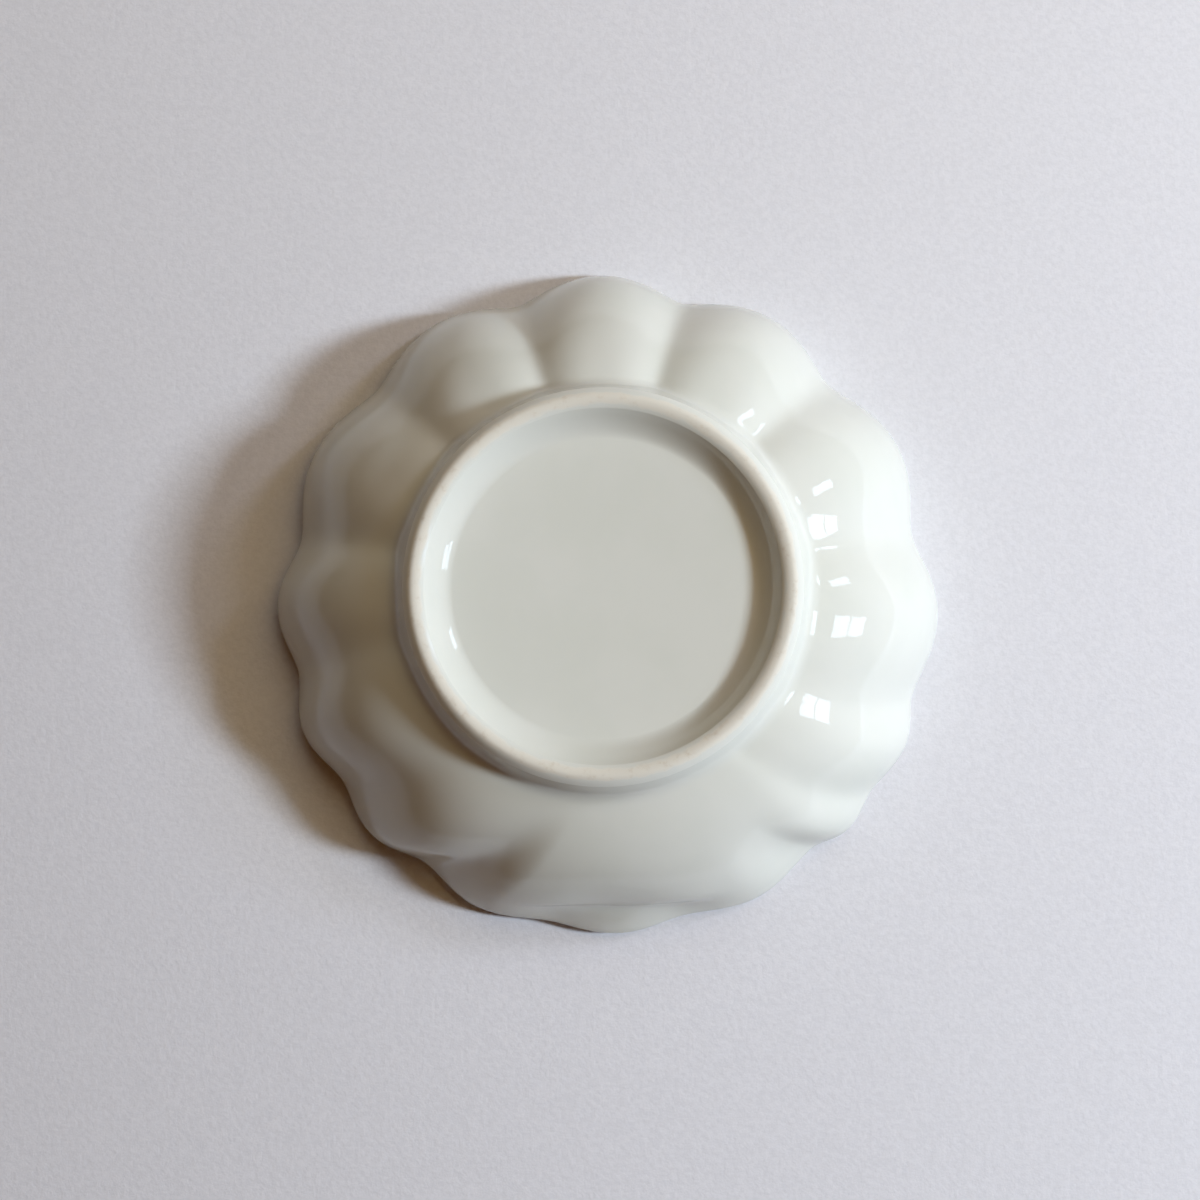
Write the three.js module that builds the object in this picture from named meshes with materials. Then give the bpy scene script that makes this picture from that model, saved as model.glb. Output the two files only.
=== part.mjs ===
// Small porcelain shell dish: a fluted bowl luted to a round foot ring, one glaze coat over
// the bowl and another in the well under the foot.
// The foot stands on z = 0 and its axis is Z. The fan end of the shell is +Y and the hinge
// end, with its small tab, is -Y. The lobes were shaped by hand, so the two sides differ a little.
import * as THREE from "three";

// Driving sizes, in millimetres and degrees.
const HEIGHT = 23; // foot edge to the top of the lip
const RIM_RADIUS = 45.4; // axis to the tips of the scallops
const WALL = 3; // finished wall at the lip, glaze included
const LIP_SLOPE = 74; // lean of the wall from the horizontal, at the lip
const FLOOR_THICKNESS = 3.2; // finished floor of the bowl, over the well
const FLOOR_RADIUS = 17; // flat part of the bowl's inside
const GLAZE = 0.3; // thickness of both glaze coats

// The notches of the rim, clockwise from the fan end as seen from above, and the share of the
// wall, from the foot up, that the groove under each notch leaves plain.
const NOTCHES = [
  { angle: 16.6, depth: 2.5, stop: 0 },
  { angle: 47.4, depth: 2, stop: 0 },
  { angle: 78.6, depth: 2.3, stop: 0 },
  { angle: 103.2, depth: 1.85, stop: 0 },
  { angle: 124.2, depth: 1.6, stop: 0 },
  { angle: 145.2, depth: 1.8, stop: 0.04 },
  { angle: 169.8, depth: 1, stop: 0.74 },
  { angle: 193.8, depth: 1.2, stop: 0.7 },
  { angle: 219.6, depth: 1.5, stop: 0.3 },
  { angle: 234, depth: 0.9, stop: 0.1 },
  { angle: 252.6, depth: 1.65, stop: 0 },
  { angle: 282, depth: 2.5, stop: 0 },
  { angle: 314.4, depth: 2.6, stop: 0 },
  { angle: 345.6, depth: 2.7, stop: 0 },
];

// The grooves that run from the notches down the wall. Angles are from the fan end.
const GROOVE_DEPTH = 1.3; // how far a groove rises over the foot at the fan end
const GROOVE_WEAKENS = [60, 145]; // where that depth starts to weaken, and where it is lost
const GROOVE_FULL = 0.8; // share of a groove's run where it has the depth of its notch
const GROOVE_POINT = 1.6; // how much narrower a groove is at the foot than at the rim
const VALLEY_FAN = 0.18; // softness of the valleys at the fan end, 0 is a sharp crease
const VALLEY_HINGE = 0.8; // the same at the hinge end

// How the grooves close on the hinge line toward the foot, on each side: by what share of their
// angle from it, and how far round that pull is felt.
const PULL_PLUS_X = { share: 0.8, spread: 54 };
const PULL_MINUS_X = { share: 0.35, spread: 75 };

const PINCH = 2.2; // how far the wall is drawn in under the tab at the hinge end
const PINCH_SPREAD = 14; // how far round from the hinge line it is drawn in
const PINCH_START = 0.35; // share of the wall where the pinch starts
const PINCH_CREASE = 5 / 6; // share of the wall where it turns out into the tab

const FOOT_EDGE_INNER = 24.1; // inner radius of the bare edge that the dish stands on
const FOOT_EDGE_WIDTH = 1.5; // width of that edge
const FOOT_HEIGHT = 4.1; // edge up to where the lobes of the wall start
const FOOT_TAPER = 19; // lean of the foot's outer side from the vertical
const WELL_RADIUS = 19.8; // flat floor of the well under the dish
const WELL_DEPTH = 3.8; // that floor's height over the bearing plane
const COVE_BEND = 0.38; // share of the cove's width that it takes to turn down
const GLAZE_LINE = 0.5; // height on the foot where both coats end

// Mesh steps across a lobe and along each curve, and the rings of the lip by their angle.
const LOBE_STEPS = 6;
const WALL_STEPS = 6;
const LIP_STOPS = [0, 45, 90, 135];
const INSIDE_STEPS = 7;
const COVE_STEPS = 5;

const { degToRad, lerp, smoothstep } = THREE.MathUtils;

// Sizes that follow from the driving ones.
const lipSlope = degToRad(LIP_SLOPE);
const lipRadius = WALL / 2;
const floorTop = WELL_DEPTH + FLOOR_THICKNESS;
const landHeight = WELL_DEPTH + GLAZE; // bare underside of the bowl, where the foot butts on
const footTaper = Math.tan(degToRad(FOOT_TAPER));
const footEdgeOuter = FOOT_EDGE_INNER + FOOT_EDGE_WIDTH;
const footTop = footEdgeOuter + landHeight * footTaper;
const glazeLineRadius = footEdgeOuter + GLAZE_LINE * footTaper;

// Height of a lobe across its width s: 1 on the crest and 0 in the valleys at both sides.
function crest(s, softness) {
  const rise = Math.hypot(Math.sin(Math.PI * s), softness) - softness;
  return rise / (Math.hypot(1, softness) - softness);
}

// One meridian on the lobe between two notches, the nearer of which shapes it: its angles at the
// rim and the foot, how deep it lies at both, where that depth stops and how far the hinge draws
// it in.
function meridian(from, to, s) {
  const rimAngle = lerp(from.angle, to.angle, s);
  const { depth, stop } = s < 0.5 ? from : to;
  const fromHinge = rimAngle - 180;
  const fromFan = Math.abs(180 - Math.abs(fromHinge));
  const towardHinge = (1 + Math.cos(degToRad(fromHinge))) / 2;
  const dip = 1 - crest(s, lerp(VALLEY_FAN, VALLEY_HINGE, towardHinge));
  const { share, spread } = fromHinge < 0 ? PULL_PLUS_X : PULL_MINUS_X;
  const pull = share * Math.exp(-((fromHinge / spread) ** 4));
  return {
    rimAngle: degToRad(rimAngle),
    footAngle: degToRad(180 + fromHinge * (1 - pull)),
    notch: dip * depth,
    groove: dip ** GROOVE_POINT * GROOVE_DEPTH * (1 - smoothstep(fromFan, ...GROOVE_WEAKENS)),
    stop,
    pinch: PINCH * Math.exp(-((fromHinge / PINCH_SPREAD) ** 2)),
  };
}

// Meridians of all the lobes, from the first notch at the fan end once round the dish.
const meridians = NOTCHES.flatMap((from, lobe) => {
  const first = NOTCHES[0];
  const to = NOTCHES[lobe + 1] ?? { ...first, angle: first.angle + 360 };
  return steps(LOBE_STEPS)
    .slice(0, LOBE_STEPS)
    .map((s) => meridian(from, to, s));
});

// Outside of the wall along a crest: an arc from the foot up to the lip, which it meets at the
// lip's slope.
const wallFoot = new THREE.Vector2(footTop + GLAZE, FOOT_HEIGHT);
const wallTop = onLip(0, lipSlope - Math.PI / 2, 0);
const wallChord = wallTop.clone().sub(wallFoot);
const wallTurn = 2 * (lipSlope - wallChord.angle());
const wallRadius = wallChord.length() / (2 * Math.sin(wallTurn / 2));
const wallCentre = leftOf(wallTop, lipSlope, wallRadius);
const crestCurve = new THREE.EllipseCurve(
  wallCentre.x,
  wallCentre.y,
  wallRadius,
  wallRadius,
  lipSlope - Math.PI / 2 - wallTurn,
  lipSlope - Math.PI / 2,
  wallTurn < 0,
);

// Share of the pinch at t along the wall: it grows up to the crease under the tab and is gone
// at the lip.
function pinchAt(t) {
  const growth = Math.max(t - PINCH_START, 0) / (PINCH_CREASE - PINCH_START);
  return Math.min(growth ** 2, (1 - t) / (1 - PINCH_CREASE));
}

// Outside of the wall at t, from 0 at the foot to 1 at the lip. A groove sinks it straight up
// at the foot and straight in at the rim.
function onOutside({ notch, groove, stop, pinch }, t, depth) {
  const grown = smoothstep(t, stop, lerp(stop, 1, GROOVE_FULL));
  const sink = lerp(groove, notch, grown) + pinch * pinchAt(t);
  const turn = (t * Math.PI) / 2;
  const { x: radius, y: height } = sunk(crestCurve, t, depth);
  return new THREE.Vector2(radius - sink * Math.sin(turn), height + sink * Math.cos(turn));
}

// Lip at an angle round its section, 0 outward and 90 degrees up.
function onLip(notch, angle, depth) {
  const centre = new THREE.Vector2(RIM_RADIUS - lipRadius - notch, HEIGHT - lipRadius);
  const side = new THREE.Vector2(Math.cos(angle), Math.sin(angle));
  return centre.addScaledVector(side, lipRadius - depth);
}

// Inside of the wall at t, from 0 at the lip to 1 at the flat floor: it leaves the lip at the
// lip's slope, follows the pinch and lies down on the floor.
function onInside({ notch, pinch }, t, depth) {
  const top = onLip(notch, lipSlope + Math.PI / 2, 0);
  const knee = new THREE.Vector2(top.x - (top.y - floorTop) / Math.tan(lipSlope), floorTop);
  const floorEdge = new THREE.Vector2(FLOOR_RADIUS, floorTop);
  const point = sunk(new THREE.QuadraticBezierCurve(top, knee, floorEdge), t, depth);
  point.x -= pinch * pinchAt(1 - t);
  return point;
}

// Inner side of the foot: from the floor of the well it turns down in a hollow to the edge.
const coveEdge = FOOT_EDGE_INNER - GLAZE;
const coveCurve = new THREE.QuadraticBezierCurve(
  new THREE.Vector2(WELL_RADIUS, WELL_DEPTH),
  new THREE.Vector2(lerp(WELL_RADIUS, coveEdge, COVE_BEND), WELL_DEPTH),
  new THREE.Vector2(coveEdge, 0),
);
const coveGlazed = Math.sqrt(1 - GLAZE_LINE / WELL_DEPTH);

function steps(count) {
  return Array.from({ length: count + 1 }, (_, step) => step / count);
}

// Point at a distance to the left of one that runs at the given slope.
function leftOf(point, slope, distance) {
  const side = new THREE.Vector2(-Math.sin(slope), Math.cos(slope));
  return point.clone().addScaledVector(side, distance);
}

// Point of a profile curve at t, sunk by a depth into the material at its left.
function sunk(curve, t, depth) {
  return leftOf(curve.getPoint(t), curve.getTangent(t).angle(), depth);
}

// A ring with one point on each meridian. Its profile gives the radius and the height there,
// and share is how far it lies along the flutes, from 0 at the foot to 1 at the rim.
function ring(profile, share) {
  return meridians.map((line) => {
    const { x: radius, y: height } = profile(line);
    const angle = lerp(line.footAngle, line.rimAngle, share);
    return new THREE.Vector3(radius * Math.sin(angle), radius * Math.cos(angle), height);
  });
}

const roundRing = (radius, height) => ring(() => new THREE.Vector2(radius, height), 0);
const pole = (height) => [new THREE.Vector3(0, 0, height)];

// Rings up the outside, over the lip and down the inside, sunk by a depth into the wall.
function bowlRings(depth) {
  const outside = steps(WALL_STEPS).map((t) => ring((line) => onOutside(line, t, depth), t));
  const lip = LIP_STOPS.map((stop) => {
    return ring(({ notch }) => onLip(notch, degToRad(stop), depth), 1);
  });
  const inside = steps(INSIDE_STEPS).map((t) => ring((line) => onInside(line, t, depth), 1 - t));
  return [...outside, ...lip, ...inside];
}

// Rings from the floor of the well down the cove to the glaze line, sunk by a depth.
function coveRings(depth) {
  return steps(COVE_STEPS).map((step) => {
    const { x: radius, y: height } = sunk(coveCurve, step * coveGlazed, depth);
    return roundRing(radius, height);
  });
}

// Two triangles between each pair of neighbours on two rings, split on the shorter diagonal, so
// that pieces that touch are split alike, or one triangle where a ring is a pole.
function band(lower, upper) {
  return meridians.flatMap((_, i) => {
    const next = (i + 1) % meridians.length;
    if (lower.length === 1) return [lower[0], upper[i], upper[next]];
    if (upper.length === 1) return [lower[i], upper[0], lower[next]];
    const gain = lower[next].distanceTo(upper[i]) - lower[i].distanceTo(upper[next]);
    const rising = gain > 0 || (gain === 0 && lower[i].z < upper[i].z);
    return rising
      ? [lower[i], upper[i], upper[next], lower[i], upper[next], lower[next]]
      : [lower[i], upper[i], lower[next], lower[next], upper[i], upper[next]];
  });
}

// A mesh through a stack of rings, which keeps the material on the left of the profile.
function loftedMesh(name, rings, material) {
  const corners = rings.slice(1).flatMap((upper, below) => band(rings[below], upper));
  const geometry = new THREE.BufferGeometry().setFromPoints(corners);
  geometry.computeVertexNormals();
  const mesh = new THREE.Mesh(geometry, material);
  mesh.name = name;
  return mesh;
}

const bareRings = bowlRings(GLAZE);
const finishedRings = bowlRings(0);
const bareCove = coveRings(GLAZE);
const footJoint = roundRing(footTop, landHeight);
const glazeLine = roundRing(glazeLineRadius, GLAZE_LINE);

// Porcelain bowl: flat underside, fluted wall, rounded lip and smooth inside.
const flutedBowl = loftedMesh(
  "fluted_bowl",
  [pole(landHeight), footJoint, ...bareRings, pole(floorTop - GLAZE)],
  new THREE.MeshStandardMaterial({ color: 0xe9e6dc, roughness: 0.8, metalness: 0 }),
);

// Porcelain foot ring: hollow inner side, flat bare edge and leaning outer side.
const footRing = loftedMesh(
  "foot_ring",
  [
    ...bareCove,
    roundRing(FOOT_EDGE_INNER, 0),
    roundRing(footEdgeOuter, 0),
    glazeLine,
    footJoint,
    bareCove[0],
  ],
  new THREE.MeshStandardMaterial({ color: 0xd8cfba, roughness: 0.9, metalness: 0 }),
);

// Glaze coat of the bowl, from the glaze line on the foot over the lip to the inside floor.
const bowlGlaze = loftedMesh(
  "bowl_glaze",
  [
    pole(floorTop - GLAZE),
    ...[...bareRings].reverse(),
    footJoint,
    glazeLine,
    roundRing(glazeLineRadius + GLAZE, GLAZE_LINE),
    ...finishedRings,
    pole(floorTop),
  ],
  new THREE.MeshStandardMaterial({ color: 0xeef0ea, roughness: 0.12, metalness: 0 }),
);

// Glaze coat of the well, over its floor and down the foot's inner side.
const footWellGlaze = loftedMesh(
  "foot_well_glaze",
  [pole(WELL_DEPTH), ...coveRings(0), ...[...bareCove].reverse(), pole(landHeight)],
  new THREE.MeshStandardMaterial({ color: 0xe6e8e0, roughness: 0.15, metalness: 0 }),
);

export default new THREE.Group().add(flutedBowl, footRing, bowlGlaze, footWellGlaze);
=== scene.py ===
"""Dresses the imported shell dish: smooth fluted porcelain, two glaze coats, a bare foot edge.

The dish stands on its foot in the part's frame, mouth up. The photographed view looks at it
from below, where it lies mouth down on a sheet of paper that touches the whole rim.
"""

import math
from types import SimpleNamespace

import bpy
import numpy as np
from mathutils import Matrix, Vector


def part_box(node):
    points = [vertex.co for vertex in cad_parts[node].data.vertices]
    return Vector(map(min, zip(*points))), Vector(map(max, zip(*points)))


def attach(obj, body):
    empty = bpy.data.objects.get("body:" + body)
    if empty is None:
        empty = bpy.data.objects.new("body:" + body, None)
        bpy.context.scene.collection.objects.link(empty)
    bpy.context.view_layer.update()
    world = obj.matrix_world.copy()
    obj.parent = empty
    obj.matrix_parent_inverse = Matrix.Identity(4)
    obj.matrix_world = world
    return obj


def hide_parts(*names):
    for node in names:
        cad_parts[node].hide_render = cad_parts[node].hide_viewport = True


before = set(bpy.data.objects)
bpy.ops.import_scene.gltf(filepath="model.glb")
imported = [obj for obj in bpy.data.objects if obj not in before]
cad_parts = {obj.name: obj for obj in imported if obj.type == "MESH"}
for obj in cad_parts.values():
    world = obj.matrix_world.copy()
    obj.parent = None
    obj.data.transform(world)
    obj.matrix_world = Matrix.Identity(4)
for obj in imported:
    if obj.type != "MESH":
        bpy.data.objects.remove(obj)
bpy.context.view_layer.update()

bl_info = {
    "name": "Shell dish",
    "version": (1, 0, 0),
    "blender": (4, 5, 0),
    "location": "View3D > Sidebar > Shell dish",
    "description": "Builds a glazed porcelain shell dish around its packed solids",
    "category": "Object",
}

MM = 0.001
RIM_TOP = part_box("bowl_glaze")[1].z
RIM_MIDDLE = Vector((0.0, 0.0, RIM_TOP))

# Notches of the rim, from the fan end once round the dish: their angles, their depths in
# millimetres, and the share of the wall, from the foot up, that each one's groove leaves plain.
NOTCH_DEGREES = (
    16.6, 47.4, 78.6, 103.2, 124.2, 145.2, 169.8, 193.8, 219.6, 234.0, 252.6, 282.0, 314.4, 345.6,
)
NOTCH_DEPTHS = (2.5, 2.0, 2.3, 1.85, 1.6, 1.8, 1.0, 1.2, 1.5, 0.9, 1.65, 2.5, 2.6, 2.7)
NOTCH_STOPS = (0.0, 0.0, 0.0, 0.0, 0.0, 0.04, 0.74, 0.7, 0.3, 0.1, 0.0, 0.0, 0.0, 0.0)

# Steps of the surfaces: columns in a lobe or round the foot, and rows along each stretch.
BODY_STEPS = SimpleNamespace(lobe=30, outside=20, lip=10, inside=16)
COAT_STEPS = SimpleNamespace(lobe=32, foot=4, pool=8, outside=44, lip=16, inside=36)
COAT_BACK_STEPS = SimpleNamespace(outside=14, lip=6, inside=12)
FOOT_STEPS = SimpleNamespace(columns=480, crest=10, cove=22, cove_back=12)
PAPER_STEPS = SimpleNamespace(lobe=16)
# Shares of a floor's radius where it has its rings.
DISH_FLOOR_RINGS = np.array([0.75, 0.5, 0.25])
WELL_FLOOR_RINGS = np.array([0.25, 0.5, 0.75, 0.9])

# Fineness of the textures, in cells per metre.
GLAZE_CLOUDS = 90.0
GLAZE_PEEL = 900.0
BODY_CLOUDS = 300.0
BISCUIT_WANDER = 400.0
BISCUIT_STAINS = 700.0
BISCUIT_GRAIN = 3500.0
SHEET_GRAIN = 1500.0
# Heights on the foot's edge between which the bare biscuit runs out into glaze, how far they
# wander round the foot, and depths of the bumps.
BISCUIT_FADE = (0.08 * MM, 0.34 * MM)
WANDER_HEIGHT = 0.1 * MM
PEEL_DEPTH = 0.02 * MM
BISCUIT_DEPTH = 0.03 * MM
SHEET_DEPTH = 0.1 * MM
# How dark the clouds of the body and the grain of the sheets are against the rest.
BODY_SHADE = 0.93
SHEET_SHADE = 0.94

# Camera and its aim in millimetres from the rim's middle, and its lens and sensor.
CAMERA_EYE = (-10.5, -38.5, -400.0)
CAMERA_AIM = (0.97, 0.28, 0.0)
CAMERA_LENS = 87.4
CAMERA_SENSOR = 36.0
# In metres: reach of the paper and of the floor, distances between which the floor fades,
# and gap between its two sheets.
PAPER_REACH = 0.9
FLOOR_REACH = 1.5
FLOOR_FADE = (0.35, 1.2)
FLOOR_GAP = 0.5 * MM
# Clear sheets crossed: a path from under the floor has crossed more, one from over it fewer.
CROSSED_SHEETS = 1.5
# Rise of a direction over which the dim room gives way to the sky.
SKY_RISE = (-0.02, 0.05)

# Lamps round the rim's middle: degrees from the fan end toward -X, degrees over the rim's
# plane, and distance, width and height in metres. Those under that plane light the paper.
LAMPS = {
    "window": (95.0, -34.3, 0.75, 0.09, 0.10),
    "side_window": (64.0, -35.0, 1.0, 0.05, 0.20),
    "warm_fill": (60.0, -55.0, 0.6, 0.36, 0.36),
    "fan_light": (5.0, -50.0, 0.5, 0.30, 0.24),
    "key_lamp": (115.0, 48.0, 3.0, 1.50, 1.50),
}
# Dim panes just in front of those windows, in the same terms, which only reflections see.
PANES = {
    "lower_pane": (95.0, -28.5, 0.73, 0.11, 0.13),
    "upper_pane": (95.0, -39.8, 0.73, 0.11, 0.13),
    "side_pane": (64.0, -35.0, 0.97, 0.10, 0.26),
}


def length(name, description, millimetres):
    """A size property, shown in the scene's length unit."""
    return bpy.props.FloatProperty(
        name=name,
        description=description,
        default=millimetres * MM,
        unit="LENGTH",
        precision=5,
    )


def angle(name, description, degrees):
    """An angle property, shown in degrees."""
    return bpy.props.FloatProperty(
        name=name,
        description=description,
        default=math.radians(degrees),
        subtype="ANGLE",
    )


def share(name, description, default, highest=1.0):
    """A plain number property from 0 up."""
    return bpy.props.FloatProperty(
        name=name, description=description, default=default, min=0.0, soft_max=highest
    )


def colour(name, description, default):
    """A linear colour property."""
    return bpy.props.FloatVectorProperty(
        name=name,
        description=description,
        default=default,
        size=3,
        min=0.0,
        soft_max=1.0,
        subtype="COLOR",
    )


class ShellDishSizes(bpy.types.PropertyGroup):
    """Sizes of the finished dish. Those that its solids have too are the same there."""

    rim_radius: length("Rim radius", "Axis to the tips of the scallops", 45.4)
    wall: length("Wall", "Finished wall at the lip", 3.0)
    lip_slope: angle("Lip slope", "Lean of the wall from the horizontal, at the lip", 74)
    floor_thickness: length("Floor thickness", "Finished floor of the bowl", 3.2)
    floor_radius: length("Floor radius", "Flat part of the inside", 17.0)
    glaze: length("Glaze", "Thickness of both glaze coats", 0.3)
    notches: bpy.props.FloatVectorProperty(
        name="Notches",
        description="Angles of the rim's notches, from the fan end once round the dish",
        default=[math.radians(degrees) for degrees in NOTCH_DEGREES],
        size=len(NOTCH_DEGREES),
        unit="ROTATION",
    )
    notch_depths: bpy.props.FloatVectorProperty(
        name="Notch depths",
        description="How far each notch cuts into the rim",
        default=[depth * MM for depth in NOTCH_DEPTHS],
        size=len(NOTCH_DEPTHS),
        unit="LENGTH",
    )
    notch_stops: bpy.props.FloatVectorProperty(
        name="Notch stops",
        description="Share of the wall, from the foot up, that each notch's groove leaves plain",
        default=NOTCH_STOPS,
        size=len(NOTCH_STOPS),
        min=0.0,
        max=0.95,
    )
    groove_depth: length("Groove depth", "How far a groove rises over the foot at the fan end", 1.3)
    weak_from: angle("Groove weakens from", "Angle from the fan end where that depth weakens", 60)
    weak_to: angle("Groove weakens to", "Angle from the fan end where that depth is lost", 145)
    groove_full: share("Groove full", "Share of a groove's run where it is as deep as its notch", 0.8)
    groove_point: share("Groove point", "Power that narrows a groove at the foot", 1.6, 3.0)
    valley_fan: share("Valley, fan end", "Softness of the valleys, 0 is a sharp crease", 0.18)
    valley_hinge: share("Valley, hinge end", "Softness of the valleys there", 0.8)
    pull_plus_x: share("Pull, +X side", "How far the grooves close on the hinge line", 0.8)
    spread_plus_x: angle("Spread, +X side", "How far round the hinge that pull is felt", 54)
    pull_minus_x: share("Pull, -X side", "How far the grooves close on the hinge line", 0.35)
    spread_minus_x: angle("Spread, -X side", "How far round the hinge that pull is felt", 75)
    pinch: length("Pinch", "How far the wall is drawn in under the tab at the hinge end", 2.2)
    pinch_spread: angle("Pinch spread", "How far round the hinge the wall is drawn in", 14)
    pinch_start: share("Pinch start", "Share of the wall where the pinch starts", 0.35)
    pinch_crease: share("Pinch crease", "Share of the wall where it turns out into the tab", 5 / 6)
    foot_inner: length("Foot, inner radius", "Inner radius of the bare edge", 24.1)
    foot_edge: length("Foot edge", "Width of the bare edge", 1.5)
    foot_height: length("Foot height", "Bare edge to where the lobes start", 4.1)
    foot_taper: angle("Foot taper", "Lean of the foot's outer side from the vertical", 19)
    foot_fillet: length("Foot fillet", "Reach of the glaze pooled round the foot", 1.1)
    pool_reach: share("Pool reach", "Reach of that pool up the wall, in fillets", 1.3, 3.0)
    well_radius: length("Well radius", "Flat floor of the well under the dish", 19.8)
    well_depth: length("Well depth", "Height of that floor over the bearing plane", 3.8)
    well_sag: length("Well sag", "How much lower that floor lies at its edge", 0.5)
    cove_bend: share("Cove bend", "Share of the cove's width that it takes to turn down", 0.38)
    glaze_line: length("Glaze line", "Height on the foot's inner side where the coat ends", 0.5)
    edge_inside: length("Edge, inside", "Radius where the foot's edge turns up inside", 24.1)
    edge_outside: length("Edge, outside", "Radius where the foot's edge turns up outside", 25.4)
    edge_rise: length("Edge rise", "Height on the outer side where that turn ends", 0.9)
    edge_low: share("Edge low", "Share of the way between those radii where it is lowest", 0.55)


class ShellDishFinish(bpy.types.PropertyGroup):
    """Colours and gloss of the porcelain and its glaze."""

    glaze_colour: colour("Glaze", "White glaze over porcelain", (0.74, 0.75, 0.68))
    glaze_cloud: colour("Glaze clouds", "Faint grey clouds in the glaze", (0.715, 0.73, 0.655))
    glaze_roughness: share("Glaze roughness", "Blur of the glaze's reflections", 0.02)
    biscuit_colour: colour("Biscuit", "Bare fired edge of the foot", (0.77, 0.74, 0.64))
    biscuit_stain: colour("Biscuit stain", "Rubbed-in grime on that edge", (0.62, 0.55, 0.43))
    body_colour: colour("Body", "Porcelain under the glaze", (0.79, 0.76, 0.67))


class ShellDishStage(bpy.types.PropertyGroup):
    """Colours and strengths of the paper, the floor and the light."""

    paper_colour: colour("Paper", "Sheet under the rim in the photographed view", (0.81, 0.81, 0.835))
    floor_colour: colour("Floor", "Pale floor under the foot", (0.76, 0.76, 0.78))
    backdrop: colour("Backdrop", "Pale surroundings behind the floor", (0.78, 0.78, 0.80))
    room: colour("Room", "Dim room round the photographed view", (0.06, 0.023, 0.004))
    sky: colour("Sky", "Soft light from above the floor", (0.42, 0.42, 0.43))
    window_colour: colour("Window", "Cool daylight", (0.75, 0.86, 1.0))
    window_power: share("Window power", "Watts of the window", 5.33, 100.0)
    side_colour: colour("Side window", "Cool daylight", (0.63, 0.74, 1.0))
    side_power: share("Side window power", "Watts of the narrow window beside it", 1.8, 100.0)
    fill_colour: colour("Fill", "Warm light of the room", (1.0, 0.72, 0.35))
    fill_power: share("Fill power", "Watts of the warm fill", 0.79, 100.0)
    fan_colour: colour("Fan light", "Soft light from the fan end", (0.93, 1.0, 0.96))
    fan_power: share("Fan light power", "Watts of the soft light from the fan end", 0.29, 100.0)
    pane_colour: colour("Panes", "Cool daylight in the mirrored panes", (0.64, 0.80, 1.0))
    pane_glow: share("Pane glow", "Watts of the mirrored panes per square metre", 24.0, 100.0)
    key_colour: colour("Key", "Daylight over the floor", (1.0, 1.0, 0.98))
    key_power: share("Key power", "Watts of the soft lamp over the floor", 68.0, 200.0)


def lerp(start, end, share_along):
    """Straight blend from start to end."""
    return start + (end - start) * share_along


def smooth_step(value, low, high):
    """Smooth step from 0 at low to 1 at high."""
    x = np.clip((value - low) / (high - low), 0.0, 1.0)
    return x * x * (3 - 2 * x)


def bezier(first, knee, last, t):
    """Quadratic Bezier from first to last, drawn toward the knee."""
    return (1 - t) ** 2 * first + 2 * t * (1 - t) * knee + t**2 * last


def spaced(count):
    """Even steps from 0 to 1 down a column, to spread a curve over rows."""
    return np.linspace(0.0, 1.0, count + 1)[:, None]


def flutes(sizes, per_lobe):
    """Meridians round the dish: angles, notch, groove, groove stop and pinch of each.

    Across a lobe s runs from 0 to 1. Its crest is the softened sine
    (hypot(sin(pi s), k) - k) / (hypot(1, k) - k), and the dip is 1 less that. At the rim the dip
    is scaled by the depth of the nearer notch. At the foot its power is scaled by a depth that
    is lost toward the hinge, and the angle a from the hinge line shrinks by the side's pull
    exp(-(a / spread)^4). The pinch is a bell round the hinge line.
    """
    start = np.array(sizes.notches)
    depth = np.array(sizes.notch_depths)
    end = np.append(start[1:], start[0] + 2 * math.pi)
    across = np.arange(per_lobe) / per_lobe
    rim_angle = lerp(start[:, None], end[:, None], across).ravel()
    nearer = np.where(across < 0.5, 0, 1) + np.arange(len(start))[:, None]
    nearer = nearer.ravel() % len(start)
    s = np.tile(across, len(start))
    from_hinge = rim_angle - math.pi
    from_fan = np.abs(math.pi - np.abs(from_hinge))
    soft = lerp(sizes.valley_fan, sizes.valley_hinge, (1 + np.cos(from_hinge)) / 2)
    dip = 1 - (np.hypot(np.sin(math.pi * s), soft) - soft) / (np.hypot(1, soft) - soft)
    kept = 1 - smooth_step(from_fan, sizes.weak_from, sizes.weak_to)
    plus_x = from_hinge < 0
    spread = np.where(plus_x, sizes.spread_plus_x, sizes.spread_minus_x)
    pull = np.where(plus_x, sizes.pull_plus_x, sizes.pull_minus_x)
    pull = pull * np.exp(-((from_hinge / spread) ** 4))
    return SimpleNamespace(
        rim_angle=rim_angle,
        foot_angle=math.pi + from_hinge * (1 - pull),
        notch=dip * depth[nearer],
        groove=dip**sizes.groove_point * sizes.groove_depth * kept,
        stop=np.array(sizes.notch_stops)[nearer],
        pinch=sizes.pinch * np.exp(-((from_hinge / sizes.pinch_spread) ** 2)),
    )


def derived(sizes):
    """Sizes that follow from the driving ones."""
    taper = math.tan(sizes.foot_taper)
    lip_radius = sizes.wall / 2
    foot_outer = sizes.foot_inner + sizes.foot_edge
    floor_top = sizes.well_depth + sizes.floor_thickness
    land = sizes.well_depth + sizes.glaze
    foot_top = foot_outer + land * taper
    return SimpleNamespace(
        lip_radius=lip_radius,
        lip_start=RIM_TOP - lip_radius * (1 + math.cos(sizes.lip_slope)),
        lip_bulge=lip_radius * (1 - math.sin(sizes.lip_slope)),
        floor_top=floor_top,
        bare_floor_top=floor_top - sizes.glaze,
        land=land,
        foot_top=foot_top,
        wall_start=foot_top + sizes.glaze,
        coat_radius=foot_outer + sizes.edge_rise * taper + sizes.glaze,
    )


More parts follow.
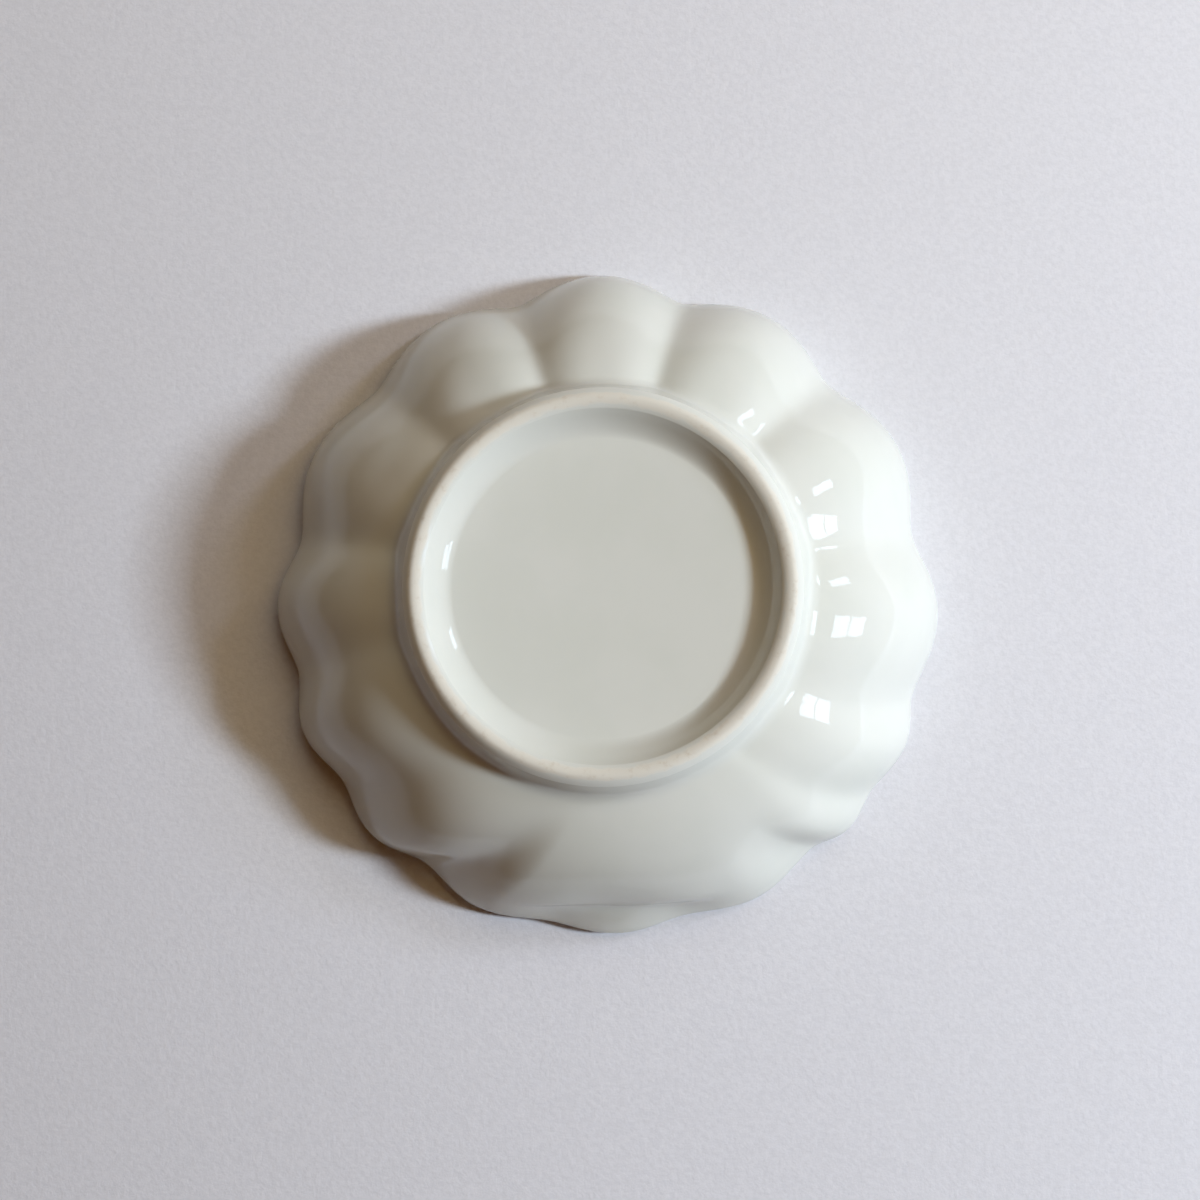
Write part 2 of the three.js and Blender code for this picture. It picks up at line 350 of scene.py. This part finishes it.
def pinch_at(sizes, t):
    """Share of the pinch along the wall: a square up to the crease, then straight down to 0."""
    growth = np.maximum(t - sizes.pinch_start, 0) / (sizes.pinch_crease - sizes.pinch_start)
    return np.minimum(growth**2, (1 - t) / (1 - sizes.pinch_crease))


def outside_wall(sizes, lines, t, depth=0.0):
    """Outside of the wall, t from 0 at the foot to 1 at the lip: radius, height, flute share.

    Along a crest it is the circular arc from the top of the foot to the start of the lip that
    ends at the lip's slope. A groove sinks it by a depth that grows, on a smooth step, from the
    groove's at the foot to the notch's at the rim, straight up at the foot and straight in at
    the rim. Depth sinks the whole along the crest's normal.
    """
    d = derived(sizes)
    end_radius = sizes.rim_radius - d.lip_bulge
    run = end_radius - d.wall_start
    rise = d.lip_start - sizes.foot_height
    turn = 2 * (sizes.lip_slope - math.atan2(rise, run))
    arc_radius = math.hypot(run, rise) / (2 * math.sin(turn / 2))
    slope = sizes.lip_slope - turn * (1 - t)
    radius = end_radius + arc_radius * (np.sin(slope) - math.sin(sizes.lip_slope))
    height = d.lip_start - arc_radius * (np.cos(slope) - math.cos(sizes.lip_slope))
    grown = smooth_step(t, lines.stop, lerp(lines.stop, 1.0, sizes.groove_full))
    sink = lerp(lines.groove, lines.notch, grown) + lines.pinch * pinch_at(sizes, t)
    radius = radius - sink * np.sin(math.pi / 2 * t) - depth * np.sin(slope)
    height = height + sink * np.cos(math.pi / 2 * t) + depth * np.cos(slope)
    return radius, height, t + 0 * radius


def lip(sizes, lines, t, depth=0.0):
    """Lip: the half circle over the wall, t from 0 outside to 1 inside."""
    d = derived(sizes)
    side = sizes.lip_slope - math.pi / 2 + math.pi * t
    reach = d.lip_radius - depth
    radius = sizes.rim_radius - d.lip_radius - lines.notch + reach * np.cos(side)
    height = RIM_TOP - d.lip_radius + reach * np.sin(side) + 0 * radius
    return radius, height, 1 + 0 * radius


def inside_wall(sizes, lines, t, depth=0.0):
    """Inside of the wall, t from 0 at the lip to 1 at the flat floor.

    A quadratic Bezier whose knee is where the lip's slope, carried on, meets the floor. Depth
    sinks it along its normal into the wall, and the pinch draws it in as it does the outside.
    """
    d = derived(sizes)
    lean = sizes.lip_slope
    end_radius = sizes.rim_radius - d.lip_bulge - lines.notch
    top_radius = end_radius - sizes.wall * math.sin(lean)
    top_height = d.lip_start + sizes.wall * math.cos(lean)
    knee_radius = top_radius - (top_height - d.floor_top) / math.tan(lean)
    radius = bezier(top_radius, knee_radius, sizes.floor_radius, t)
    height = bezier(top_height, d.floor_top, d.floor_top, t) + 0 * radius
    d_radius = (1 - t) * (knee_radius - top_radius) + t * (sizes.floor_radius - knee_radius)
    d_height = (1 - t) * (d.floor_top - top_height) + 0 * radius
    norm = np.hypot(d_radius, d_height)
    radius = radius - depth * d_height / norm - lines.pinch * pinch_at(sizes, 1 - t)
    return radius, height + depth * d_radius / norm, 1 - t + 0 * radius


def foot_side(sizes, lines, side_rows, pool_rows):
    """Glazed outer side of the foot and the pool of glaze above it.

    The side is a cone from the edge's turn up, and the pool a quadratic Bezier from the cone
    over to the wall, whose knee lies on the cone as high as the groove starts.
    """
    d = derived(sizes)
    knee_radius = d.wall_start + lines.groove * math.tan(sizes.foot_taper)
    knee_height = sizes.foot_height + lines.groove
    down_radius = d.coat_radius - knee_radius
    down_height = sizes.edge_rise - knee_height
    pool_share = sizes.foot_fillet / np.hypot(down_radius, down_height)
    low_radius = knee_radius + down_radius * pool_share
    low_height = knee_height + down_height * pool_share
    climb = spaced(side_rows)
    side_radius = lerp(d.coat_radius, low_radius, climb)
    side_height = lerp(sizes.edge_rise, low_height, climb)
    t = spaced(pool_rows)
    high_radius, high_height, high_share = outside_wall(sizes, lines, wall_pool_end(sizes))
    pool_radius = bezier(low_radius, knee_radius, high_radius, t)
    pool_height = bezier(low_height, knee_height, high_height, t)
    radius = np.concatenate([side_radius, pool_radius[1:-1]])
    height = np.concatenate([side_height, pool_height[1:-1]])
    along = np.concatenate([0 * side_radius, (t * high_share)[1:-1]])
    return radius, height, along


def wall_pool_end(sizes):
    """Share of the wall that the pool covers: its reach over the straight line to the lip."""
    d = derived(sizes)
    line = math.hypot(sizes.rim_radius - d.wall_start, d.lip_start - sizes.foot_height)
    return sizes.pool_reach * sizes.foot_fillet / line


def carried(profile, foot_angle, rim_angle):
    """Points of a profile of radius, height and flute share, carried round the meridians."""
    radius, height, along = profile
    turn = lerp(foot_angle, rim_angle, along)
    return np.stack([radius * np.sin(turn), radius * np.cos(turn), height + 0 * turn], axis=-1)


def stacked(*profiles):
    """Several profiles one after the other."""
    return tuple(np.concatenate(parts) for parts in zip(*profiles))


def reversed_rows(profile):
    """The same profile walked the other way."""
    return tuple(part[::-1] for part in profile)


def without_ends(profile):
    """A profile without its first and last row, which its neighbours have."""
    return tuple(part[1:-1] for part in profile)


def round_angles(columns):
    """Even angles once round the axis."""
    return np.arange(columns) / columns * 2 * math.pi


def level_ring(columns, radius, height):
    """Level circles of the given radii and heights as a profile, at the foot's angles."""
    radius = np.atleast_1d(np.asarray(radius, float))[:, None] + np.zeros(columns)
    height = np.atleast_1d(np.asarray(height, float))[:, None] + 0 * radius
    return radius, height, 0 * radius


def piece_mesh(name, rings, first_pole=None, last_pole=None, closed=False, edges=()):
    """A mesh through a stack of rings of points, rows by columns.

    Each row joins the next by quads, and the last column joins the first. A pole height closes
    an end by a fan on the axis, and closed joins the last row back to the first. The rows in
    edges are sharp, and the rest is smooth.
    """
    rows, columns, _ = rings.shape
    index = np.arange(rows * columns).reshape(rows, columns)
    lower = index if closed else index[:-1]
    upper = np.roll(index, -1, axis=0) if closed else index[1:]
    lower_next = np.roll(lower, -1, axis=1)
    upper_next = np.roll(upper, -1, axis=1)
    quads = np.stack([lower, upper, upper_next, lower_next], axis=-1).reshape(-1, 4)
    points = [rings.reshape(-1, 3)]
    fans = []
    count = rows * columns
    for height, row, forward in ((first_pole, index[0], False), (last_pole, index[-1], True)):
        if height is None:
            continue
        points.append(np.array([[0.0, 0.0, height]]))
        pole = np.full(columns, count)
        ahead = np.roll(row, -1)
        sides = (row, pole, ahead) if forward else (row, ahead, pole)
        fans.append(np.stack(sides, axis=-1))
        count += 1
    points = np.concatenate(points)
    triangles = np.concatenate(fans) if fans else np.zeros((0, 3), int)
    mesh = bpy.data.meshes.new(name)
    mesh.vertices.add(len(points))
    mesh.vertices.foreach_set("co", points.astype(np.float32).ravel())
    corners = np.concatenate([quads.ravel(), triangles.ravel()])
    starts = np.concatenate([
        np.arange(len(quads)) * 4,
        len(quads) * 4 + np.arange(len(triangles)) * 3,
    ])
    mesh.loops.add(len(corners))
    mesh.loops.foreach_set("vertex_index", corners.astype(np.int32))
    mesh.polygons.add(len(starts))
    mesh.polygons.foreach_set("loop_start", starts.astype(np.int32))
    mesh.update(calc_edges=True)
    if mesh.validate(verbose=False):
        raise RuntimeError(f"the mesh of {name} has faulty faces")
    mesh.polygons.foreach_set("use_smooth", np.ones(len(starts), bool))
    ends = np.empty(2 * len(mesh.edges), np.int32)
    mesh.edges.foreach_get("vertices", ends)
    first_row, last_row = (ends.reshape(-1, 2) // columns).T
    sharp = (first_row == last_row) & np.isin(first_row, edges)
    mesh.edges.foreach_set("use_edge_sharp", sharp)
    return mesh


def add_piece(name, mesh, material, node):
    """Links a piece, gives it its finish and lets it stand for its node."""
    mesh.materials.append(material)
    piece = bpy.data.objects.new(name, mesh)
    bpy.context.scene.collection.objects.link(piece)
    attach(piece, "root")
    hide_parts(node)


def new_material(name):
    """A node material that holds only its shader and output."""
    material = bpy.data.materials.new(name)
    material.use_nodes = True
    nodes = material.node_tree.nodes
    return material, nodes, material.node_tree.links, nodes["Principled BSDF"]


def noise(nodes, links, coordinates, scale, detail=3.0, roughness=0.5):
    """A noise texture on the given coordinates, its scale in cells per metre."""
    node = nodes.new("ShaderNodeTexNoise")
    node.inputs["Scale"].default_value = scale
    node.inputs["Detail"].default_value = detail
    node.inputs["Roughness"].default_value = roughness
    links.new(coordinates, node.inputs["Vector"])
    return node.outputs["Fac"]


def ranged(nodes, links, value, low, high, to_low=0.0, to_high=1.0):
    """A value mapped smoothly from one range to another."""
    node = nodes.new("ShaderNodeMapRange")
    node.interpolation_type = "SMOOTHSTEP"
    node.inputs["From Min"].default_value = low
    node.inputs["From Max"].default_value = high
    node.inputs["To Min"].default_value = to_low
    node.inputs["To Max"].default_value = to_high
    links.new(value, node.inputs["Value"])
    return node.outputs["Result"]


def mixed(nodes, links, factor, first, second):
    """A blend of two colours, each a socket or a colour value."""
    node = nodes.new("ShaderNodeMix")
    node.data_type = "RGBA"
    links.new(factor, node.inputs["Factor"])
    for key, value in (("A", first), ("B", second)):
        socket = [s for s in node.inputs if s.name == key and s.type == "RGBA"][0]
        if isinstance(value, bpy.types.NodeSocket):
            links.new(value, socket)
        else:
            socket.default_value = (*value, 1.0)
    return [s for s in node.outputs if s.type == "RGBA"][0]


def reckoned(nodes, links, operation, first, second):
    """The result of a math operation on two values, each a socket or a number."""
    node = nodes.new("ShaderNodeMath")
    node.operation = operation
    for socket, value in zip(node.inputs, (first, second)):
        if isinstance(value, bpy.types.NodeSocket):
            links.new(value, socket)
        else:
            socket.default_value = value
    return node.outputs["Value"]


def bumped(nodes, links, height, distance, strength):
    """A bump of the given depth in metres."""
    node = nodes.new("ShaderNodeBump")
    node.inputs["Distance"].default_value = distance
    node.inputs["Strength"].default_value = strength
    links.new(height, node.inputs["Height"])
    return node.outputs["Normal"]


def glaze_material(finish):
    """Clear glaze over white porcelain: faint clouds, orange peel and a sharp reflection.

    Both coats share it, so it is made once.
    """
    made = bpy.data.materials.get("clear_glaze")
    if made is not None:
        return made
    material, nodes, links, shader = new_material("clear_glaze")
    place = nodes.new("ShaderNodeTexCoord").outputs["Object"]
    clouds = noise(nodes, links, place, GLAZE_CLOUDS, detail=4.0)
    clouds = ranged(nodes, links, clouds, low=0.35, high=0.7)
    base = mixed(nodes, links, clouds, finish.glaze_colour, finish.glaze_cloud)
    links.new(base, shader.inputs["Base Color"])
    peel = noise(nodes, links, place, GLAZE_PEEL, detail=2.0)
    links.new(bumped(nodes, links, peel, PEEL_DEPTH, strength=0.25), shader.inputs["Normal"])
    shader.inputs["Roughness"].default_value = finish.glaze_roughness
    shader.inputs["IOR"].default_value = 1.5
    return material


def biscuit_material(finish):
    """Bare fired porcelain, dry and grainy, that runs out into the glaze up both its sides."""
    material, nodes, links, shader = new_material("bare_biscuit")
    place = nodes.new("ShaderNodeTexCoord").outputs["Object"]
    parts = nodes.new("ShaderNodeSeparateXYZ")
    links.new(place, parts.inputs["Vector"])
    wander = noise(nodes, links, place, BISCUIT_WANDER)
    wander = ranged(nodes, links, wander, 0.3, 0.7, -WANDER_HEIGHT, WANDER_HEIGHT)
    level = reckoned(nodes, links, "ADD", parts.outputs["Z"], wander)
    glazed = ranged(nodes, links, level, *BISCUIT_FADE)
    stain = noise(nodes, links, place, BISCUIT_STAINS, detail=5.0, roughness=0.65)
    stain = ranged(nodes, links, stain, low=0.5, high=0.85)
    bare = mixed(nodes, links, stain, finish.biscuit_colour, finish.biscuit_stain)
    links.new(mixed(nodes, links, glazed, bare, finish.glaze_colour), shader.inputs["Base Color"])
    roughness = ranged(nodes, links, glazed, 0.0, 1.0, to_low=0.8, to_high=0.12)
    links.new(roughness, shader.inputs["Roughness"])
    grain = noise(nodes, links, place, BISCUIT_GRAIN, roughness=0.6)
    links.new(bumped(nodes, links, grain, BISCUIT_DEPTH, strength=0.4), shader.inputs["Normal"])
    shader.inputs["Specular IOR Level"].default_value = 0.3
    return material


def body_material(finish):
    """Porcelain under the glaze, faintly clouded."""
    material, nodes, links, shader = new_material("bare_porcelain")
    place = nodes.new("ShaderNodeTexCoord").outputs["Object"]
    clouds = ranged(nodes, links, noise(nodes, links, place, BODY_CLOUDS), low=0.3, high=0.7)
    darker = [BODY_SHADE * value for value in finish.body_colour]
    base = mixed(nodes, links, clouds, finish.body_colour, darker)
    links.new(base, shader.inputs["Base Color"])
    shader.inputs["Roughness"].default_value = 0.7
    return material


class SHELLDISH_OT_fluted_bowl(bpy.types.Operator):
    """Builds the porcelain bowl under the glaze"""

    bl_idname = "shell_dish.fluted_bowl"
    bl_label = "Fluted bowl"

    def execute(self, context):
        sizes = context.scene.shell_dish_sizes
        d = derived(sizes)
        lines = flutes(sizes, BODY_STEPS.lobe)
        columns = len(lines.notch)
        profile = stacked(
            level_ring(columns, d.foot_top, d.land),
            outside_wall(sizes, lines, spaced(BODY_STEPS.outside), sizes.glaze),
            without_ends(lip(sizes, lines, spaced(BODY_STEPS.lip), sizes.glaze)),
            inside_wall(sizes, lines, spaced(BODY_STEPS.inside), sizes.glaze),
        )
        rings = carried(profile, lines.foot_angle, lines.rim_angle)
        mesh = piece_mesh("fluted_bowl_body", rings, d.land, d.bare_floor_top)
        material = body_material(context.scene.shell_dish_finish)
        add_piece("fluted_bowl_body", mesh, material, "fluted_bowl")
        return {"FINISHED"}


def cove(sizes, columns, t, depth=0.0):
    """Hollow inner side of the foot, t from 0 at the well's floor to 1 at the glaze line.

    A quadratic Bezier that leaves the floor's edge at the floor's lean and turns down to the
    foot's edge, walked as far as its height falls to the glaze line. Depth sinks it along its
    normal into the foot.
    """
    width = sizes.foot_inner - sizes.glaze - sizes.well_radius
    knee = width * sizes.cove_bend
    top = sizes.well_depth - sizes.well_sag
    knee_height = top - 2 * sizes.well_sag * knee / sizes.well_radius
    bend = knee_height / top
    fall = 1 - sizes.glaze_line / top
    last = (math.sqrt((bend - 1) ** 2 + fall * (2 * bend - 1)) + bend - 1) / (2 * bend - 1)
    t = t * last
    radius = sizes.well_radius + bezier(0.0, knee, width, t)
    height = bezier(top, knee_height, 0.0, t)
    d_radius = (1 - t) * knee + t * (width - knee)
    d_height = (1 - t) * (knee_height - top) - t * knee_height
    norm = np.hypot(d_radius, d_height)
    radius = radius - depth * d_height / norm
    height = height + depth * d_radius / norm
    return radius + np.zeros(columns), height + np.zeros(columns), np.zeros((len(t), columns))


def foot_crest(sizes, columns, rows):
    """Rounded edge of the foot, from the end of the cove's glaze to that of the outer side.

    Two quadratic Beziers that meet level on the bearing plane, at the edge's lowest circle.
    Their knees lie on that plane where the edge turns up.
    """
    d = derived(sizes)
    inner_radius, inner_height, _ = cove(sizes, 1, np.array([[1.0]]))
    lowest = lerp(sizes.edge_inside, sizes.edge_outside, sizes.edge_low)
    t = spaced(rows)[:, 0]
    radius = np.concatenate([
        bezier(inner_radius[0, 0], sizes.edge_inside, lowest, t),
        bezier(lowest, sizes.edge_outside, d.coat_radius, t)[1:],
    ])
    height = np.concatenate([inner_height[0, 0] * (1 - t) ** 2, sizes.edge_rise * t[1:] ** 2])
    return level_ring(columns, radius, height)


class SHELLDISH_OT_foot_ring(bpy.types.Operator):
    """Builds the foot ring with its bare, rounded edge"""

    bl_idname = "shell_dish.foot_ring"
    bl_label = "Foot ring"

    def execute(self, context):
        sizes = context.scene.shell_dish_sizes
        d = derived(sizes)
        columns = FOOT_STEPS.columns
        turn = round_angles(columns)
        hollow = cove(sizes, columns, spaced(FOOT_STEPS.cove_back), sizes.glaze)
        crest = foot_crest(sizes, columns, FOOT_STEPS.crest)
        profile = stacked(hollow, crest, level_ring(columns, d.foot_top, d.land))
        rings = carried(profile, turn, turn)
        crest_start = len(hollow[0])
        top = crest_start + len(crest[0])
        edges = (0, crest_start - 1, crest_start, top - 1, top)
        mesh = piece_mesh("foot_ring_biscuit", rings, closed=True, edges=edges)
        material = biscuit_material(context.scene.shell_dish_finish)
        add_piece("foot_ring_biscuit", mesh, material, "foot_ring")
        return {"FINISHED"}


class SHELLDISH_OT_bowl_glaze(bpy.types.Operator):
    """Builds the glaze coat of the bowl, from the foot over the lip to the inside floor"""

    bl_idname = "shell_dish.bowl_glaze"
    bl_label = "Bowl glaze"

    def execute(self, context):
        sizes = context.scene.shell_dish_sizes
        d = derived(sizes)
        lines = flutes(sizes, COAT_STEPS.lobe)
        columns = len(lines.notch)
        floor_radii = sizes.floor_radius * DISH_FLOOR_RINGS
        under = stacked(
            level_ring(columns, floor_radii[::-1], d.bare_floor_top),
            reversed_rows(inside_wall(sizes, lines, spaced(COAT_BACK_STEPS.inside), sizes.glaze)),
            reversed_rows(without_ends(lip(sizes, lines, spaced(COAT_BACK_STEPS.lip), sizes.glaze))),
            reversed_rows(outside_wall(sizes, lines, spaced(COAT_BACK_STEPS.outside), sizes.glaze)),
            level_ring(columns, d.foot_top, d.land),
        )
        over = stacked(
            foot_side(sizes, lines, COAT_STEPS.foot, COAT_STEPS.pool),
            outside_wall(sizes, lines, lerp(wall_pool_end(sizes), 1.0, spaced(COAT_STEPS.outside))),
            without_ends(lip(sizes, lines, spaced(COAT_STEPS.lip))),
            inside_wall(sizes, lines, spaced(COAT_STEPS.inside)),
            level_ring(columns, floor_radii, d.floor_top),
        )
        rings = carried(stacked(under, over), lines.foot_angle, lines.rim_angle)
        coat_end = len(under[0])
        edges = (coat_end - 1, coat_end)
        mesh = piece_mesh("bowl_glaze_coat", rings, d.bare_floor_top, d.floor_top, edges=edges)
        material = glaze_material(context.scene.shell_dish_finish)
        add_piece("bowl_glaze_coat", mesh, material, "bowl_glaze")
        return {"FINISHED"}


class SHELLDISH_OT_foot_well_glaze(bpy.types.Operator):
    """Builds the glaze coat of the well, over its floor and down the foot's inner side"""

    bl_idname = "shell_dish.foot_well_glaze"
    bl_label = "Foot well glaze"

    def execute(self, context):
        sizes = context.scene.shell_dish_sizes
        d = derived(sizes)
        columns = FOOT_STEPS.columns
        turn = round_angles(columns)
        floor_radii = sizes.well_radius * WELL_FLOOR_RINGS
        floor_heights = sizes.well_depth - sizes.well_sag * WELL_FLOOR_RINGS**2
        side = cove(sizes, columns, spaced(FOOT_STEPS.cove))
        back = cove(sizes, columns, spaced(FOOT_STEPS.cove_back), sizes.glaze)
        profile = stacked(
            level_ring(columns, floor_radii, floor_heights),
            side,
            reversed_rows(back),
            level_ring(columns, floor_radii[::-1], d.land),
        )
        rings = carried(profile, turn, turn)
        coat_end = len(floor_radii) + len(side[0])
        edges = (coat_end - 1, coat_end)
        mesh = piece_mesh("foot_well_glaze_coat", rings, sizes.well_depth, d.land, edges=edges)
        material = glaze_material(context.scene.shell_dish_finish)
        add_piece("foot_well_glaze_coat", mesh, material, "foot_well_glaze")
        return {"FINISHED"}


def sheet_material(name, colour_value, serves_below, fade=None):
    """A matt sheet that shows from its front, and only to light that serves its side.

    The floor is two sheets thick and clear from behind, so a path from under it has crossed
    two clear sheets, and one from over it at most one. The paper is there for the first kind,
    the floor for the second, and in the picture the floor may fade out with distance.
    """
    material, nodes, links, shader = new_material(name)
    place = nodes.new("ShaderNodeTexCoord").outputs["Object"]
    path = nodes.new("ShaderNodeLightPath").outputs
    grain = noise(nodes, links, place, SHEET_GRAIN, detail=4.0, roughness=0.6)
    pale = ranged(nodes, links, grain, low=0.3, high=0.7)
    darker = [SHEET_SHADE * value for value in colour_value]
    links.new(mixed(nodes, links, pale, darker, colour_value), shader.inputs["Base Color"])
    links.new(bumped(nodes, links, grain, SHEET_DEPTH, strength=0.6), shader.inputs["Normal"])
    shader.inputs["Roughness"].default_value = 0.95
    shader.inputs["Specular IOR Level"].default_value = 0.1
    other_side = "LESS_THAN" if serves_below else "GREATER_THAN"
    hidden = reckoned(nodes, links, other_side, path["Transparent Depth"], CROSSED_SHEETS)
    backfacing = nodes.new("ShaderNodeNewGeometry").outputs["Backfacing"]
    hidden = reckoned(nodes, links, "MAXIMUM", hidden, backfacing)
    if fade is not None:
        far = nodes.new("ShaderNodeVectorMath")
        far.operation = "LENGTH"
        links.new(place, far.inputs[0])
        beyond = ranged(nodes, links, far.outputs["Value"], *fade)
        faded = reckoned(nodes, links, "MULTIPLY", beyond, path["Is Camera Ray"])
        hidden = reckoned(nodes, links, "MAXIMUM", hidden, faded)
    clear = nodes.new("ShaderNodeBsdfTransparent")
    choice = nodes.new("ShaderNodeMixShader")
    links.new(hidden, choice.inputs["Fac"])
    links.new(shader.outputs["BSDF"], choice.inputs[1])
    links.new(clear.outputs["BSDF"], choice.inputs[2])
    links.new(choice.outputs["Shader"], nodes["Material Output"].inputs["Surface"])
    return material


def add_sheet(name, points, faces, material):
    """A flat sheet of the stage."""
    mesh = bpy.data.meshes.new(name)
    mesh.from_pydata(points, [], faces)
    mesh.materials.append(material)
    sheet = bpy.data.objects.new(name, mesh)
    bpy.context.scene.collection.objects.link(sheet)


def add_lamp(name, spot, watts, colour_value):
    """A rectangular lamp that faces the rim's middle and stays out of the picture."""
    azimuth, elevation, distance, width, height = spot
    turn, climb = math.radians(azimuth), math.radians(elevation)
    level = math.cos(climb)
    toward = Vector((-math.sin(turn) * level, math.cos(turn) * level, math.sin(climb)))
    lamp = bpy.data.lights.new(name, "AREA")
    lamp.shape = "RECTANGLE"
    lamp.size = width
    lamp.size_y = height
    lamp.energy = watts
    lamp.color = colour_value
    holder = bpy.data.objects.new(name, lamp)
    bpy.context.scene.collection.objects.link(holder)
    holder.location = RIM_MIDDLE + toward * distance
    holder.rotation_mode = "QUATERNION"
    holder.rotation_quaternion = (-toward).to_track_quat("-Z", "Y")
    holder.visible_camera = False
    return holder


class SHELLDISH_OT_stage(bpy.types.Operator):
    """Lays the paper and the floor, and sets the lamps, the room's light and the camera"""

    bl_idname = "shell_dish.stage"
    bl_label = "Stage"

    def execute(self, context):
        stage = context.scene.shell_dish_stage
        self.lay_paper(context.scene.shell_dish_sizes, stage)
        self.lay_floor(stage)
        self.hang_lamps(stage)
        self.light_room(context.scene, stage)
        self.set_camera(context.scene)
        return {"FINISHED"}

    def lay_paper(self, sizes, stage):
        """A sheet at the rim, facing down, with a hole along the top of the lip."""
        lines = flutes(sizes, PAPER_STEPS.lobe)
        columns = len(lines.notch)
        lip_top = np.array([[1 - sizes.lip_slope / math.pi]])
        profile = stacked(lip(sizes, lines, lip_top), level_ring(columns, PAPER_REACH, RIM_TOP))
        points = carried(profile, lines.rim_angle, lines.rim_angle)
        points[..., 2] = RIM_TOP
        inner, outer = np.arange(2 * columns).reshape(2, columns)
        faces = np.stack([inner, outer, np.roll(outer, -1), np.roll(inner, -1)], axis=-1)
        material = sheet_material("paper", stage.paper_colour, serves_below=True)
        add_sheet("paper", points.reshape(-1, 3).tolist(), faces.tolist(), material)

    def lay_floor(self, stage):
        """A floor under the foot, facing up, two sheets thick."""
        material = sheet_material("floor", stage.floor_colour, serves_below=False, fade=FLOOR_FADE)
        corners = np.array([(-1, -1), (1, -1), (1, 1), (-1, 1)]) * FLOOR_REACH
        points = [(x, y, z) for z in (0.0, -FLOOR_GAP) for x, y in corners.tolist()]
        add_sheet("floor", points, [(0, 1, 2, 3), (4, 5, 6, 7)], material)

    def hang_lamps(self, stage):
        """The windows and softer lights under the paper, and a soft lamp over the floor.

        The lamps under the paper light without being mirrored, and the panes are only mirrored.
        """
        powers = {
            "window": (stage.window_power, stage.window_colour),
            "side_window": (stage.side_power, stage.side_colour),
            "warm_fill": (stage.fill_power, stage.fill_colour),
            "fan_light": (stage.fan_power, stage.fan_colour),
            "key_lamp": (stage.key_power, stage.key_colour),
        }
        for name, spot in LAMPS.items():
            holder = add_lamp(name, spot, *powers[name])
            holder.visible_glossy = name == "key_lamp"
        for name, spot in PANES.items():
            *_, width, height = spot
            holder = add_lamp(name, spot, stage.pane_glow * width * height, stage.pane_colour)
            holder.visible_diffuse = False

    def light_room(self, scene, stage):
        """A dim room under the paper, soft light above it, and pale surroundings in the picture."""
        world = bpy.data.worlds.new("room")
        world.use_nodes = True
        nodes, links = world.node_tree.nodes, world.node_tree.links
        background = nodes["Background"]
        rays = nodes.new("ShaderNodeLightPath")
        direction = nodes.new("ShaderNodeTexCoord").outputs["Generated"]
        parts = nodes.new("ShaderNodeSeparateXYZ")
        links.new(direction, parts.inputs["Vector"])
        above = ranged(nodes, links, parts.outputs["Z"], *SKY_RISE)
        light = mixed(nodes, links, above, stage.room, stage.sky)
        seen = mixed(nodes, links, rays.outputs["Is Camera Ray"], light, stage.backdrop)
        links.new(seen, background.inputs["Color"])
        scene.world = world

    def set_camera(self, scene):
        """A camera under the dish that looks up at the paper, as the photographed view does."""
        eye = RIM_MIDDLE + Vector(CAMERA_EYE) * MM
        aim = RIM_MIDDLE + Vector(CAMERA_AIM) * MM
        ahead = (aim - eye).normalized()
        right = ahead.cross(Vector((0.0, 1.0, 0.0))).normalized()
        up = right.cross(ahead)
        camera = bpy.data.cameras.new("camera")
        camera.sensor_width = CAMERA_SENSOR
        camera.lens = CAMERA_LENS
        camera.clip_start = 0.01
        camera.clip_end = 10.0
        holder = bpy.data.objects.new("camera", camera)
        scene.collection.objects.link(holder)
        turn = Matrix((right, up, -ahead)).transposed()
        holder.matrix_world = Matrix.Translation(eye) @ turn.to_4x4()
        scene.camera = holder
        scene.view_settings.view_transform = "Standard"


class SHELLDISH_PT_sidebar(bpy.types.Panel):
    """Lists the steps that build the dish"""

    bl_idname = "SHELLDISH_PT_sidebar"
    bl_label = "Shell dish"
    bl_space_type = "VIEW_3D"
    bl_region_type = "UI"
    bl_category = "Shell dish"

    def draw(self, context):
        for operator in OPERATORS:
            self.layout.operator(operator.bl_idname)
        for name in SETTINGS:
            group = getattr(context.scene, name)
            box = self.layout.box()
            for key in group.__annotations__:
                box.prop(group, key)


SETTINGS = {
    "shell_dish_sizes": ShellDishSizes,
    "shell_dish_finish": ShellDishFinish,
    "shell_dish_stage": ShellDishStage,
}
OPERATORS = (
    SHELLDISH_OT_fluted_bowl,
    SHELLDISH_OT_foot_ring,
    SHELLDISH_OT_bowl_glaze,
    SHELLDISH_OT_foot_well_glaze,
    SHELLDISH_OT_stage,
)
CLASSES = (*SETTINGS.values(), *OPERATORS, SHELLDISH_PT_sidebar)


def register():
    for cls in CLASSES:
        bpy.utils.register_class(cls)
    for name, group in SETTINGS.items():
        setattr(bpy.types.Scene, name, bpy.props.PointerProperty(type=group))


def unregister():
    for name in SETTINGS:
        delattr(bpy.types.Scene, name)
    for cls in reversed(CLASSES):
        bpy.utils.unregister_class(cls)


def main():
    register()
    bpy.ops.shell_dish.fluted_bowl()
    bpy.ops.shell_dish.foot_ring()
    bpy.ops.shell_dish.bowl_glaze()
    bpy.ops.shell_dish.foot_well_glaze()
    bpy.ops.shell_dish.stage()


if __name__ == "__main__":
    main()
